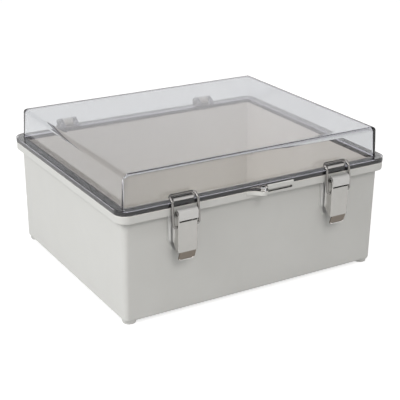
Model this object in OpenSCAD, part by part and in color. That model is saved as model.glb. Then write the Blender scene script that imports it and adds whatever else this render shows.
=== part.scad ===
// Outdoor plastic enclosure with a clear hinged lid and two stainless toggle latches.
// Millimetres. X runs along the latched front, -Y points out of the front, +Z is up.
// The origin is the centre of the four mounting holes, on the plane the feet stand on.

/* [Case] */
// Width of the case over the lid's flange
case_w = 300; // [260:5:400]
// Depth of the case over the lid's flange, front to back
case_d = 250; // [200:5:340]
// Height of the base from its underside to its sealing rim
base_h = 107.8; // [95:0.1:180]
// Rise of the clear dome above the lid's flange
dome_h = 30.2; // [22:0.1:60]
// Wall and floor thickness of the base
wall = 3; // [2.5:0.1:4]
// Wall thickness of the lid
lid_wall = 3; // [2:0.1:4]
// How far the base's wall stands inside the flange's edge, at the rim
wall_inset = 6.5; // [6:0.1:8]
// How much further in the base's wall stands at the floor
wall_draft = 1.1; // [0.5:0.1:2]
// How far the dome stands inside the flange's edge
dome_inset = 7.6; // [7:0.1:9]
// How much further in the dome stands at its top
dome_draft = 1.7; // [0.5:0.1:4]

/* [Roundings] */
// Plan radius of the rim and flange corners
corner_r = 12; // [12:0.5:20]
// Radius of the base's upright corners at the rim
body_r = 5; // [4.5:0.5:9]
// Radius of the base's bottom edges
edge_r = 4; // [3:0.5:6]
// Radius of the dome's corners and top edges
dome_r = 4.5; // [4.2:0.1:8]
// Radius inside the base's floor corners
inner_r = 1; // [0.6:0.1:2]

/* [Sealing rim] */
// Height of the rim's outer skirt
rim_h = 8; // [7:0.1:12]
// Thickness of the rim's top land
rim_t = 3.2; // [2.5:0.1:4]
// Thickness of the rim's outer skirt
rim_skirt = 2.6; // [2:0.1:3]
// How far the rim stands back from the flange's edge
rim_inset = 0.4; // [0.2:0.1:0.8]
// Width of the sealing bead on the rim
bead_w = 2; // [1.5:0.1:3]
// Width of the sealing bead's flat crown
bead_crown = 1.2; // [0.8:0.1:1.4]
// Height of the sealing bead on the rim
bead_h = 0.8; // [0.5:0.1:1.2]
// Height of the lid's flange
flange_h = 5.1; // [4.8:0.1:7]
// Thickness of the flange's clear top over the gasket
roof_t = 1.5; // [1.4:0.1:2.4]
// Thickness of the flange's clear outer skirt
skirt_t = 2; // [1.6:0.1:2.5]
// Rounding of the flange's outer top edge
flange_r = 0.9; // [0.5:0.1:1.5]
// Gap between the closed lid's skirt and the rim
seal_gap = 0.2; // [0.15:0.05:0.4]

/* [Feet and fixing points] */
// Height of the feet
foot_h = 3; // [2:0.5:6]
// Radius of the feet where they join the case
foot_r = 7; // [6:0.25:7.25]
// How much smaller the feet are in radius at the ground
foot_taper = 0.75; // [0.25:0.25:1.5]
// Distance of the mounting holes from the flange's edges
mount_inset = 15; // [14.8:0.1:20]
// Diameter of the mounting holes, for M5 screws
mount_d = 5.5; // [4.5:0.1:6]
// Distance of the panel bosses from the flange's edges
panel_inset = 40; // [30:1:60]
// Height of the panel bosses above the floor
boss_h = 9; // [8:0.5:20]
// Radius of the panel bosses
boss_r = 5; // [4.5:0.25:7]
// Radius of the brass inserts in the panel bosses
insert_r = 3; // [2.6:0.1:3.5]
// Length of the brass inserts
insert_l = 7; // [5:0.5:7.5]
// Core diameter of the inserts' M4 thread
insert_bore_d = 3.3; // [2.5:0.1:3.6]

/* [Hinges] */
// Distance between the centres of the two hinges
hinge_spacing = 171; // [120:1:200]
// Radius of the hinge knuckles
knuckle_r = 5; // [4:0.1:6]
// Thickness of each lid ear
ear_t = 5; // [4:0.1:6]
// Distance between the centres of a hinge's two lid ears
ear_spacing = 16; // [14:0.5:24]
// Diameter of the hinge pins
hinge_pin_d = 4; // [3:0.1:5]
// How far each hinge pin stands out of the lid ears
pin_stand = 0.5; // [0.2:0.1:1.5]
// Gap at each side of a base knuckle
hinge_side_gap = 0.3; // [0.2:0.05:0.6]
// Gap between the base knuckle and the lid's back edge
hinge_back_gap = 0.6; // [0.5:0.1:1.2]

/* [Latches] */
// Distance between the centres of the two latches
latch_spacing = 171; // [120:1:200]
// Width of the lever and its hood
lever_w = 20; // [18:0.5:24]
// Length of the lever below its pivot
lever_len = 37; // [34:0.5:46]
// Depth of the lever's side walls behind its pivot
lever_back = 7.9; // [6:0.1:8]
// Thickness of the lever, hood and bracket ears
sheet_t = 1; // [0.8:0.1:1.2]
// Distance from the pivot to the lever's front face
lever_face = 3.2; // [3:0.1:4]
// Depth below the pivot at which the lever's side walls reach its front face
lever_top_drop = 4; // [3.6:0.1:5]
// Length of the hood below the pivot
hood_drop = 6; // [5.5:0.1:7]
// Height of the hood above the pivot
hood_h = 3.9; // [3.8:0.05:4]
// Outside radius of the hood's roll
hood_roll = 4.8; // [4.6:0.1:5]
// How far the hood reaches back over the pivot
hood_back = 1.8; // [1.2:0.1:2]
// Slit between the hood's lip and the lever's front plate
lever_slit = 1.8; // [1:0.1:2.2]
// Distance of the pivot in front of the flange's edge
pivot_out = 4.4; // [4.2:0.1:6]
// Distance of the pivot below the sealing rim
pivot_drop = 4.8; // [4.5:0.1:7]
// Diameter of the lever's pivot pin
pivot_d = 3; // [2.5:0.1:3.2]
// Radius of the pivot pin's heads
pivot_head_r = 2.4; // [2:0.1:2.8]
// Thickness of the pivot pin's heads
pivot_head_t = 0.8; // [0.5:0.1:1]
// Width of the lever's finger tongue
tongue_w = 17; // [12:0.5:18]
// Length of the finger tongue
tongue_len = 10; // [6:0.5:11]
// Angle that the finger tongue is bent towards the case
tongue_bend = 20; // [10:1:30]
// Radius of the finger tongue's corners
tongue_r = 3; // [1:0.5:5]
// Width of the bracket's back plate
bracket_w = 27; // [26:0.5:32]
// Width of the bracket's back plate at its lower end
bracket_low_w = 16; // [14:0.5:20]
// Height of the bracket's full-width part below the pivot
bracket_drop = 28; // [24:0.5:32]
// Height of the whole bracket below the pivot
bracket_len = 39; // [36:0.5:44]
// Thickness of the bracket's back plate
bracket_t = 1.2; // [1:0.1:1.5]
// Height of the bracket's ears where they leave its back plate
ear_root_h = 14.5; // [12:0.5:18]
// How far the moulded latch pad stands out of the wall
pad_proud = 0.5; // [0.4:0.1:1]
// Margin of the moulded latch pad around the bracket
pad_margin = 0.8; // [0.5:0.1:2]

/* [Bail wire] */
// Diameter of the bail wire
wire_d = 2.5; // [2:0.1:2.8]
// Distance between the centres of a bail's two legs
bail_w = 26.5; // [26:0.5:30]
// Distance of the bail's pivot below the lever's pivot
bail_drop = 13; // [12:0.5:15]
// Distance of the bail's cross bar behind the flange's edge
bar_inset = 4.5; // [4:0.1:5]
// Inside bend radius of the wire
wire_bend = 1.6; // [1:0.1:2]
// Gap between the wire and the flange's edge
wire_gap = 0.6; // [0.5:0.1:1]
// How far the bail's hooks reach through the lever's sides
hook_reach = 0.8; // [0.4:0.1:1]
// Gap under the closed bail's cross bar
bar_gap = 0.35; // [0.3:0.05:0.5]

/* [Keepers and padlock lug] */
// Width of the keeper under a bail
keeper_w = 21; // [18:0.5:21.5]
// Height of the keeper above the flange
keeper_h = 3.2; // [2.5:0.1:4]
// Depth of the keeper, front to back
keeper_d = 5.8; // [5.4:0.1:6]
// Thickness of the keeper's steel
keeper_t = 1; // [0.8:0.1:1.2]
// Depth that the keeper's legs are moulded into the flange
keeper_root = 1.2; // [0.8:0.1:1.5]
// How far the keeper stands behind the flange's edge
keeper_inset = 0.6; // [0.4:0.1:0.9]
// Distance of the padlock hole left of the front's centre
lug_offset = 3; // [0:0.5:10]
// Radius of the padlock lug's nose
lug_r = 5; // [4.5:0.1:7]
// Diameter of the padlock hole
lug_hole_d = 4.5; // [3:0.1:5]
// Distance of the padlock hole in front of the flange's edge
lug_out = 3.2; // [3:0.1:5]
// Radius of the hollow sweep on the lug's left
lug_sweep_r = 14; // [10:0.5:20]
// Thickness of the lug where its sweep starts
lug_root = 0.5; // [0.4:0.1:1]
// Thickness of the padlock lug
lug_t = 3.6; // [3:0.1:5]
// Thickness of the lid's padlock tab
tab_t = 3; // [2:0.1:3.6]
// Distance of the raised lip from the lug's nose
lip_offset = 1.7; // [1:0.1:3]
// Length of the raised lip beside the lug
lip_len = 29.3; // [20:0.1:50]
// Thickness of the raised lip
lip_t = 1.9; // [1.5:0.1:2.5]
// Height of the raised lip above the sealing rim
lip_rise = 3.3; // [1:0.1:3.6]
// Height of the raised lip below the sealing rim
lip_drop = 1.4; // [1.2:0.1:2]
// Height of the slot under the lip
slot_h = 3.4; // [2:0.1:3.8]
// Depth of the slot, through the rim's skirt
slot_depth = 3.2; // [2.8:0.1:4]

/* [Rivets] */
// Radius of the bracket rivets' shanks
rivet_r = 2; // [1.5:0.1:2.4]
// Radius of the bracket rivets' heads
rivet_head_r = 3.4; // [3:0.1:4]
// Height of the bracket rivets' heads
rivet_head_h = 1.6; // [1:0.1:2]
// Distance of the upper rivet below the lever's pivot
rivet_drop = 15; // [14:0.5:18]
// Distance between a bracket's two rivets
rivet_pitch = 15; // [10:0.5:16]

/* [Clearances] */
// Radial running clearance of a pin in the piece that turns on it
run_gap = 0.05; // [0.02:0.01:0.09]
// Side gap between a turning piece and the piece beside it
side_gap = 0.3; // [0.2:0.05:0.5]
// Side gap between the lever and the pivot pin's heads
head_gap = 0.15; // [0.1:0.05:0.3]
// Gap between the lever's eyes and the hood around them
eye_gap = 0.1; // [0.05:0.05:0.3]
// Clearance of the bracket's ears under the rim
ear_rim_gap = 1.3; // [1:0.1:2]
// Gap between the gasket and the dome's wall
gasket_gap = 0.1; // [0.05:0.05:0.3]
// Gap between the gasket and the sealing bead
bead_gap = 0.05; // [0.02:0.01:0.1]
// Gap between the lip or lug and the closed lid
lip_gap = 0.4; // [0.3:0.1:0.6]

/* [Hidden] */
$fn = 64;
// Thickness of the slice that starts a moulded form at its open end
slice = 0.5;
// Overlap by which one region of a moulding runs into the next
merge = 1;
// How far the lug's sides run inside its round nose, to cross it at a clear angle
nose_lap = 0.15;
// Faces of the hull forms at a full turn
hull_fn = 32;
// Angle at which the front edge of a bracket's ear meets its round end
ear_front_angle = -20;
// A wire's straight runs are drawn this much thinner, and run this far into its bends
wire_step = 0.01;
wire_lap = 0.2;

half_w = case_w / 2;
half_d = case_d / 2;
rim_top = foot_h + base_h;
rim_bottom = rim_top - rim_h;
lid_bottom = rim_top + seal_gap;
flange_top = lid_bottom + flange_h;
roof_z = flange_top - roof_t;
lid_top = flange_top + dome_h;
floor_z = foot_h + wall;
boss_top = floor_z + boss_h;

rim_face = half_d - rim_inset;
wall_face = half_d - wall_inset;
rim_reach = wall_inset - rim_inset + wall / 2;
flange_reach = dome_inset + lid_wall / 2;
gasket_in = dome_inset - gasket_gap;
gasket_z = rim_top + bead_h + bead_gap;
bead_mid = (skirt_t + gasket_in) / 2;

mount_x = half_w - mount_inset;
mount_y = half_d - mount_inset;
panel_x = half_w - panel_inset;
panel_y = half_d - panel_inset;

hinge_y = half_d + hinge_back_gap + knuckle_r;
hinge_z = lid_bottom + hinge_side_gap + knuckle_r;
base_knuckle_w = ear_spacing - ear_t - 2 * hinge_side_gap;
hinge_pin_l = ear_spacing + ear_t + 2 * pin_stand;

pivot_y = -half_d - pivot_out;
pivot_z = rim_top - pivot_drop;
pivot_r = pivot_d / 2;
pad_y = -wall_face - pad_proud;
plate_y = pad_y - bracket_t;
plate_out = pivot_y - plate_y;
hood_bend = [lever_face + sheet_t - hood_roll, hood_h - hood_roll];
eye_r = hood_roll - sheet_t - norm(hood_bend) - eye_gap;
panel_drop = hood_drop + lever_slit;
bracket_ear_r = eye_r - side_gap;
bracket_ear_x = lever_w / 2 - sheet_t - side_gap - sheet_t / 2;
rivet_seat_y = -wall_face + wall + wall_draft + slice;
pad_top = rim_bottom + rim_skirt;

wire_r = wire_d / 2;
bend_r = wire_bend + wire_r;
knee_y = -half_d - wire_gap - wire_r;
knee_z = flange_top + wire_gap + wire_r / 2;
bar_y = -half_d + bar_inset;
bar_z = flange_top + keeper_h + bar_gap + wire_r;
bail_z = pivot_z - bail_drop;
keeper_front = -half_d + keeper_inset;

lug_x = -lug_offset;
lug_y = -half_d - lug_out;
lug_top = rim_top - lip_gap;
lip_x = lug_x + lug_r + lip_offset;
lip_y = -half_d - lip_gap - lip_t;

function unit(v) = v / norm(v);

// Plan outline with round corners
module rounded_rect(w, d, r) {
    square([w - 2 * r, d], center = true);
    square([w, d - 2 * r], center = true);
    for (x = [-1, 1], y = [-1, 1])
        translate([x * (w / 2 - r), y * (d / 2 - r)]) circle(r);
}

// Drafted moulded form: a round-cornered outline at its open end, ball-rounded corners at its closed end
module moulded_form(open_w, open_d, open_r, open_z, end_w, end_d, end_r, end_z) {
    $fn = hull_fn;
    inward = sign(open_z - end_z);
    hull() {
        translate([0, 0, inward > 0 ? open_z - slice : open_z])
            linear_extrude(slice) rounded_rect(open_w, open_d, open_r);
        for (x = [-1, 1], y = [-1, 1])
            translate([x * (end_w / 2 - end_r), y * (end_d / 2 - end_r), end_z + inward * end_r]) sphere(end_r);
    }
}

// Sweeps a profile round a round-cornered rectangle; profile x = 0 is the outer edge, profile y is height
module ring_sweep(w, d, r) {
    for (turn = [0:3]) {
        run = turn % 2 == 0 ? d - 2 * r : w - 2 * r;
        reach = turn % 2 == 0 ? w / 2 : d / 2;
        rotate(90 * turn) {
            translate([reach, run / 2, 0]) rotate([90, 0, 0]) linear_extrude(run) children();
            translate([reach - r, run / 2, 0]) rotate_extrude(angle = 90) translate([r, 0]) children();
        }
    }
}

// Extrudes a side view along X: profile x becomes Y, profile y becomes Z
module along_x(thickness) {
    rotate([90, 0, 90]) linear_extrude(thickness, center = true) children();
}

// Side view of a latch piece about the lever's pivot: profile x points out of the case
module latch_side(thickness) {
    translate([0, pivot_y, pivot_z]) along_x(thickness) mirror([1, 0]) children();
}

module rod_x(r, l) {
    rotate([0, 90, 0]) cylinder(r = r, h = l, center = true);
}

module at_corners(x, y) {
    for (sx = [-1, 1], sy = [-1, 1]) translate([sx * x, sy * y, 0]) children();
}

module at_hinges() {
    for (side = [-1, 1]) translate([side * hinge_spacing / 2, 0, 0]) children();
}

module at_latches() {
    for (side = [-1, 1]) translate([side * latch_spacing / 2, 0, 0]) children();
}

module at_rivets() {
    for (i = [0, 1]) translate([0, 0, pivot_z - rivet_drop - i * rivet_pitch]) children();
}

// Wire bent through a list of points, with straight rods and quarter-torus bends
module wire(points, r, bend) {
    last = len(points) - 1;
    dirs = [for (i = [0 : last - 1]) unit(points[i + 1] - points[i])];
    turns = [for (i = [0 : last]) i == 0 || i == last ? 0 : acos(dirs[i - 1] * dirs[i])];
    trims = [for (a = turns) bend * tan(a / 2)];
    for (i = [0 : last - 1]) {
        lap_start = i == 0 ? 0 : wire_lap;
        lap_end = i == last - 1 ? 0 : wire_lap;
        start = trims[i] - lap_start;
        z = dirs[i];
        x = unit(cross(abs(z.x) < 0.9 ? [1, 0, 0] : [0, 1, 0], z));
        on_axes(x, cross(z, x), z, points[i] + z * start)
            cylinder(r = r - wire_step, h = norm(points[i + 1] - points[i]) - start - trims[i + 1] + lap_end);
    }
    for (i = [1 : last - 1]) {
        u = dirs[i - 1];
        n = unit(dirs[i] - (dirs[i] * u) * u);
        on_axes(-n, u, cross(-n, u), points[i] - u * trims[i] + n * bend)
            rotate_extrude(angle = turns[i]) translate([bend, 0]) circle(r);
    }
}

module on_axes(x, y, z, origin) {
    multmatrix([
        [x.x, y.x, z.x, origin.x],
        [x.y, y.y, z.y, origin.y],
        [x.z, y.z, z.z, origin.z],
        [0, 0, 0, 1]
    ]) children();
}

// Base shell: a drafted box with a skirted rim, a sealing bead, feet, hinge arms and latch pads
module base_outer() {
    moulded_form(
        case_w - 2 * wall_inset, case_d - 2 * wall_inset, body_r, rim_top,
        case_w - 2 * (wall_inset + wall_draft), case_d - 2 * (wall_inset + wall_draft), edge_r, foot_h);
}

module base_cavity() {
    inset = wall_inset + wall;
    moulded_form(
        case_w - 2 * inset, case_d - 2 * inset, body_r - wall / 2, rim_top + bead_h + slice,
        case_w - 2 * (inset + wall_draft), case_d - 2 * (inset + wall_draft), inner_r, floor_z);
}

module rim_profile() {
    translate([-rim_reach, rim_top - rim_t]) square([rim_reach, rim_t]);
    translate([-rim_skirt, rim_bottom + rim_skirt / 2]) square([rim_skirt, rim_h - rim_skirt / 2]);
    translate([-rim_skirt / 2, rim_bottom + rim_skirt / 2]) circle(rim_skirt / 2);
}

module bead_profile() {
    translate([-bead_mid, rim_top])
        polygon([
            [-bead_w / 2, -merge], [bead_w / 2, -merge], [bead_w / 2, 0],
            [bead_crown / 2, bead_h], [-bead_crown / 2, bead_h], [-bead_w / 2, 0]
        ]);
}

module bracket_outline(margin, top) {
    wide = bracket_w / 2 + margin;
    low = bracket_low_w / 2 + margin;
    shoulder = pivot_z - bracket_drop;
    foot = pivot_z - bracket_len - margin;
    polygon([[-wide, top], [wide, top], [wide, shoulder], [low, foot], [-low, foot], [-wide, shoulder]]);
}

module latch_pad() {
    translate([0, -wall_face + wall / 2, 0]) rotate([90, 0, 0])
        linear_extrude(pad_proud + wall / 2) bracket_outline(pad_margin, pad_top);
    at_rivets()
        translate([0, -wall_face + wall / 2, 0]) rotate([-90, 0, 0])
            cylinder(r = rivet_head_r + merge, h = rivet_seat_y + wall_face - wall / 2);
}

module hinge_arm() {
    root_y = rim_face - rim_skirt / 2;
    front_y = hinge_y - knuckle_r;
    back_y = hinge_y + knuckle_r;
    along_x(base_knuckle_w)
        polygon([
            [root_y, rim_bottom + merge], [root_y, rim_top - merge / 2], [front_y, rim_top - merge / 2],
            [front_y, hinge_z], [back_y, hinge_z], [back_y, hinge_z - knuckle_r / 2]
        ]);
    translate([0, hinge_y, hinge_z]) rod_x(knuckle_r, base_knuckle_w);
}

// Plan outline of the padlock lug: a round nose with a hollow sweep back to its root on its left
module lug_outline(root_y) {
    root = root_y - lug_y;
    core_r = lug_r - nose_lap;
    sweep_y = root - lug_root - lug_sweep_r;
    sweep_x = -sqrt(pow(lug_sweep_r + core_r, 2) - pow(sweep_y, 2));
    translate([lug_x, lug_y]) difference() {
        union() {
            circle(lug_r);
            difference() {
                polygon([[sweep_x, root], [sweep_x, sweep_y], [0, 0], [core_r, 0], [core_r, root]]);
                translate([sweep_x, sweep_y]) circle(lug_sweep_r);
            }
        }
        translate([-2 * lug_sweep_r, root]) square([3 * lug_sweep_r, lug_sweep_r]);
    }
}

module lug_hole() {
    translate([lug_x, lug_y, rim_bottom - merge]) cylinder(d = lug_hole_d, h = rim_h + flange_h + 2 * merge);
}

module raised_lip() {
    lip_foot = rim_top - lip_drop;
    translate([lug_x, -rim_face - lip_t, lip_foot])
        cube([lip_x + lip_len - lug_x, lip_t, lip_drop - lip_gap]);
    translate([lip_x, lip_y, lip_foot])
        cube([lip_len, -rim_face - lip_y, lip_drop - lip_gap]);
    translate([lip_x, lip_y, lip_foot]) cube([lip_len, lip_t, lip_drop + lip_rise]);
}

module lip_slot() {
    translate([lip_x, lip_y - merge, rim_top - lip_drop - slot_h])
        cube([lip_len, slot_depth - rim_face - lip_y + merge, slot_h]);
}

module foot() {
    cylinder(r1 = foot_r - foot_taper, r2 = foot_r, h = foot_h);
    translate([0, 0, foot_h]) cylinder(r = foot_r, h = edge_r);
}

module panel_boss() {
    difference() {
        translate([0, 0, floor_z - wall / 2]) cylinder(r = boss_r, h = boss_h + wall / 2);
        translate([0, 0, boss_top - insert_l]) cylinder(r = insert_r, h = insert_l + merge);
    }
}

module base_shell() {
    color("gainsboro") {
        difference() {
            union() {
                difference() {
                    union() {
                        base_outer();
                        ring_sweep(case_w - 2 * rim_inset, case_d - 2 * rim_inset, corner_r - rim_inset) rim_profile();
                        ring_sweep(case_w, case_d, corner_r) bead_profile();
                        at_corners(mount_x, mount_y) foot();
                    }
                    base_cavity();
                }
                at_latches() latch_pad();
                at_hinges() hinge_arm();
            }
            at_corners(mount_x, mount_y)
                translate([0, 0, -merge]) cylinder(d = mount_d, h = floor_z + 2 * merge);
            at_hinges() translate([0, hinge_y, hinge_z]) rod_x(hinge_pin_d / 2, ear_spacing);
            at_latches() at_rivets()
                translate([0, pad_y - merge, 0]) rotate([-90, 0, 0])
                    cylinder(r = rivet_r + run_gap, h = rivet_seat_y - pad_y + 2 * merge);
            lip_slot();
        }
        at_corners(panel_x, panel_y) panel_boss();
    }
}

// Padlock lug: a small moulding welded to the rim's skirt, with a raised lip that guards the shackle
module padlock_lug() {
    color("gainsboro") difference() {
        union() {
            translate([0, 0, lug_top - lug_t]) linear_extrude(lug_t) lug_outline(-rim_face);
            raised_lip();
        }
        lug_hole();
    }
}

// Brass inserts pressed into the four panel bosses
module panel_inserts() {
    color("goldenrod")
        at_corners(panel_x, panel_y) translate([0, 0, boss_top - insert_l])
            difference() {
                cylinder(r = insert_r, h = insert_l);
                translate([0, 0, -merge]) cylinder(d = insert_bore_d, h = insert_l + 2 * merge);
            }
}

// Lid: a clear drafted dome on a channelled flange, with hinge ears at the back
module dome_outer() {
    moulded_form(
        case_w - 2 * dome_inset, case_d - 2 * dome_inset, dome_r, lid_bottom,
        case_w - 2 * (dome_inset + dome_draft), case_d - 2 * (dome_inset + dome_draft), dome_r, lid_top);
}

module dome_cavity() {
    inset = dome_inset + lid_wall;
    moulded_form(
        case_w - 2 * inset, case_d - 2 * inset, dome_r - lid_wall / 2, lid_bottom - slice,
        case_w - 2 * (inset + dome_draft), case_d - 2 * (inset + dome_draft),
        dome_r - lid_wall / 2, lid_top - lid_wall);
}

module flange_profile() {
    translate([-flange_reach, roof_z]) square([flange_reach - flange_r, roof_t]);
    translate([-skirt_t, lid_bottom]) square([skirt_t, flange_h - flange_r]);
    translate([-flange_r, flange_top - flange_r]) circle(flange_r);
    translate([-flange_reach, roof_z]) square([flange_reach, roof_t - flange_r]);
}

module hinge_ear() {
    low_z = hinge_z - knuckle_r;
    web_z = flange_top - roof_t / 2;
    edge_y = half_d - skirt_t / 2;
    along_x(ear_t)
        polygon([
            [edge_y, low_z], [hinge_y, low_z], [hinge_y, hinge_z + knuckle_r],
            [half_d - dome_inset + merge, web_z], [edge_y, web_z]
        ]);
    translate([0, hinge_y, hinge_z]) rod_x(knuckle_r, ear_t);
}

module keeper_profile() {
    depth = flange_top - keeper_root;
    translate([keeper_front, 0]) difference() {
        translate([0, depth]) square([keeper_d, keeper_root + keeper_h]);
        translate([keeper_t, depth - merge])
            square([keeper_d - 2 * keeper_t, keeper_root + keeper_h - keeper_t + merge]);
    }
}

module lid() {
    color([0.8, 0.88, 0.92, 0.45])
        difference() {
            union() {
                dome_outer();
                ring_sweep(case_w, case_d, corner_r) flange_profile();
                at_hinges() for (side = [-1, 1]) translate([side * ear_spacing / 2, 0, 0]) hinge_ear();
            }
            dome_cavity();
            at_hinges() translate([0, hinge_y, hinge_z]) rod_x(hinge_pin_d / 2 + run_gap, hinge_pin_l + 2 * merge);
            at_latches() along_x(keeper_w) keeper_profile();
        }
}

// Padlock tab: a clear tongue welded to the flange's edge, over the base's lug
module padlock_tab() {
    color([0.8, 0.88, 0.92, 0.45]) difference() {
        translate([0, 0, lid_bottom]) linear_extrude(tab_t) lug_outline(-half_d);
        lug_hole();
    }
}

// Black rubber gasket that fills the lid's channel above the sealing bead
module gasket() {
    color([0.12, 0.12, 0.13])
        ring_sweep(case_w, case_d, corner_r)
            translate([-gasket_in, gasket_z]) square([gasket_in - skirt_t, roof_z - gasket_z]);
}

module hinge_pin(side) {
    color("silver") translate([side * hinge_spacing / 2, hinge_y, hinge_z]) rod_x(hinge_pin_d / 2, hinge_pin_l);
}

// Latch bracket: a back plate riveted to the case, with two ears that carry the lever's pivot
module bracket_ear_outline() {
    neck_z = rim_bottom - pivot_z - ear_rim_gap;
    root_out = plate_out - bracket_t / 2;
    circle(bracket_ear_r);
    polygon([
        [0, 0], [-bracket_ear_r, 0], [-bracket_ear_r, neck_z], [root_out, neck_z - sheet_t],
        [root_out, neck_z - sheet_t - ear_root_h], [plate_out / 2, neck_z - ear_root_h / 2],
        bracket_ear_r * [cos(ear_front_angle), sin(ear_front_angle)]
    ]);
}

module bracket(side) {
    color("silver") translate([side * latch_spacing / 2, 0, 0])
        difference() {
            union() {
                translate([0, pad_y, 0]) rotate([90, 0, 0])
                    linear_extrude(bracket_t) bracket_outline(0, rim_bottom - side_gap);
                for (ear = [-1, 1]) translate([ear * bracket_ear_x, 0, 0])
                    latch_side(sheet_t) bracket_ear_outline();
            }
            translate([0, pivot_y, pivot_z]) rod_x(pivot_r, lever_w);
            at_rivets() translate([0, pad_y + merge, 0]) rotate([90, 0, 0])
                cylinder(r = rivet_r + run_gap, h = bracket_t + 2 * merge);
        }
}

// Rivets through the bracket, the latch pad and the wall, clenched on a flat seat inside
module rivets(side) {
    color("silver") translate([side * latch_spacing / 2, 0, 0])
        at_rivets() rotate([-90, 0, 0]) {
            translate([0, 0, plate_y]) cylinder(r = rivet_r, h = rivet_seat_y - plate_y);
            translate([0, 0, plate_y - rivet_head_h]) cylinder(r1 = rivet_r, r2 = rivet_head_r, h = rivet_head_h);
            translate([0, 0, rivet_seat_y]) cylinder(r = rivet_head_r, h = rivet_head_h / 2);
        }
}

module pivot_pin(side) {
    head_x = lever_w / 2 + head_gap + pivot_head_t / 2;
    color("silver") translate([side * latch_spacing / 2, pivot_y, pivot_z]) {
        rod_x(pivot_r, 2 * head_x);
        for (end = [-1, 1]) translate([end * head_x, 0, 0]) rod_x(pivot_head_r, pivot_head_t);
    }
}

// Lever: a folded channel with a bent finger tongue, turning on the pivot pin and carrying the bail
module lever_side_outline() {
    neck_z = rim_bottom - pivot_z;
    shoulder = lever_back - eye_r;
    circle(eye_r);
    polygon([
        [0, 0], [eye_r, 0], [lever_face, -lever_top_drop], [lever_face, -lever_len], [0, -lever_len],
        [-lever_back, -lever_len + lever_back], [-lever_back, neck_z - shoulder], [-eye_r, neck_z], [-eye_r, 0]
    ]);
}

// Front view of the finger tongue, with round lower corners; y = 0 is the bend
module tongue_outline() {
    drop = tongue_len * cos(tongue_bend);
    translate([-tongue_w / 2, tongue_r - drop]) square([tongue_w, drop - tongue_r + merge]);
    translate([tongue_r - tongue_w / 2, -drop]) square([tongue_w - 2 * tongue_r, drop]);
    for (x = [-1, 1]) translate([x * (tongue_w / 2 - tongue_r), tongue_r - drop]) circle(tongue_r);
}

// Side view of the finger tongue, mitred into the lever's front plate
module tongue_side() {
    bend_line = [lever_face, -lever_len];
    along = [-sin(tongue_bend), -cos(tongue_bend)];
    inward = [-cos(tongue_bend), sin(tongue_bend)];
    inner_line = [lever_face - sheet_t, sheet_t * tan(tongue_bend / 2) - lever_len];
    polygon([
        bend_line + [0, merge], bend_line, bend_line + tongue_len * along,
        bend_line + tongue_len * along + sheet_t * inward, inner_line, [inner_line.x, merge - lever_len]
    ]);
}

module tongue() {
    intersection() {
        latch_side(tongue_w) tongue_side();
        translate([0, pivot_y, pivot_z - lever_len]) rotate([90, 0, 0])
            linear_extrude(2 * lever_len, center = true) tongue_outline();
    }
}

module lever(side) {
    color("gainsboro") translate([side * latch_spacing / 2, 0, 0])
        difference() {
            union() {
                translate([-lever_w / 2, pivot_y - lever_face, pivot_z - lever_len])
                    cube([lever_w, sheet_t, lever_len - panel_drop]);
                for (wall_side = [-1, 1]) translate([wall_side * (lever_w - sheet_t) / 2, 0, 0])
                    latch_side(sheet_t) lever_side_outline();
                tongue();
            }
            translate([0, pivot_y, pivot_z]) rod_x(pivot_r + run_gap, lever_w + 2 * merge);
            translate([0, pivot_y, bail_z]) rod_x(wire_r + run_gap, lever_w + 2 * merge);
        }
}

// Hood: a plate rolled over the pivot, welded to the front edges of the lever's sides
module hood_outline() {
    translate(hood_bend) intersection() {
        difference() {
            circle(hood_roll);
            circle(hood_roll - sheet_t);
        }
        square(2 * hood_roll);
    }
    translate([lever_face, -hood_drop]) square([sheet_t, hood_drop + hood_bend.y]);
    translate([-hood_back, hood_h - sheet_t]) square([hood_back + hood_bend.x, sheet_t]);
}

module hood(side) {
    color("whitesmoke") translate([side * latch_spacing / 2, 0, 0]) latch_side(lever_w) hood_outline();
}

// Bail: one bent wire, hooked into the lever's sides, over the flange and across the keeper
module bail(side) {
    leg_x = bail_w / 2;
    hook_x = lever_w / 2 - sheet_t - hook_reach;
    half = [
        [hook_x, pivot_y, bail_z], [leg_x, pivot_y, bail_z], [leg_x, knee_y, knee_z], [leg_x, bar_y, bar_z]
    ];
    mirrored = [for (i = [3 : -1 : 0]) [-half[i].x, half[i].y, half[i].z]];
    color("silver") translate([side * latch_spacing / 2, 0, 0]) wire(concat(half, mirrored), wire_r, bend_r);
}

// Keeper: a folded steel strike moulded into the flange, under the bail's cross bar
module keeper(side) {
    color("lightgray") translate([side * latch_spacing / 2, 0, 0]) along_x(keeper_w) keeper_profile();
}

base_shell();
padlock_lug();
panel_inserts();
lid();
padlock_tab();
gasket();
hinge_pin(-1);  // left_hinge_pin
hinge_pin(1);  // right_hinge_pin
bracket(-1);  // left_bracket
rivets(-1);  // left_rivets
pivot_pin(-1);  // left_pivot_pin
lever(-1);  // left_lever
hood(-1);  // left_hood
bail(-1);  // left_bail
keeper(-1);  // left_keeper
bracket(1);  // right_bracket
rivets(1);  // right_rivets
pivot_pin(1);  // right_pivot_pin
lever(1);  // right_lever
hood(1);  // right_hood
bail(1);  // right_bail
keeper(1);  // right_keeper
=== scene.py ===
import math

import bmesh
import bpy
from mathutils import Matrix, Vector


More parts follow.
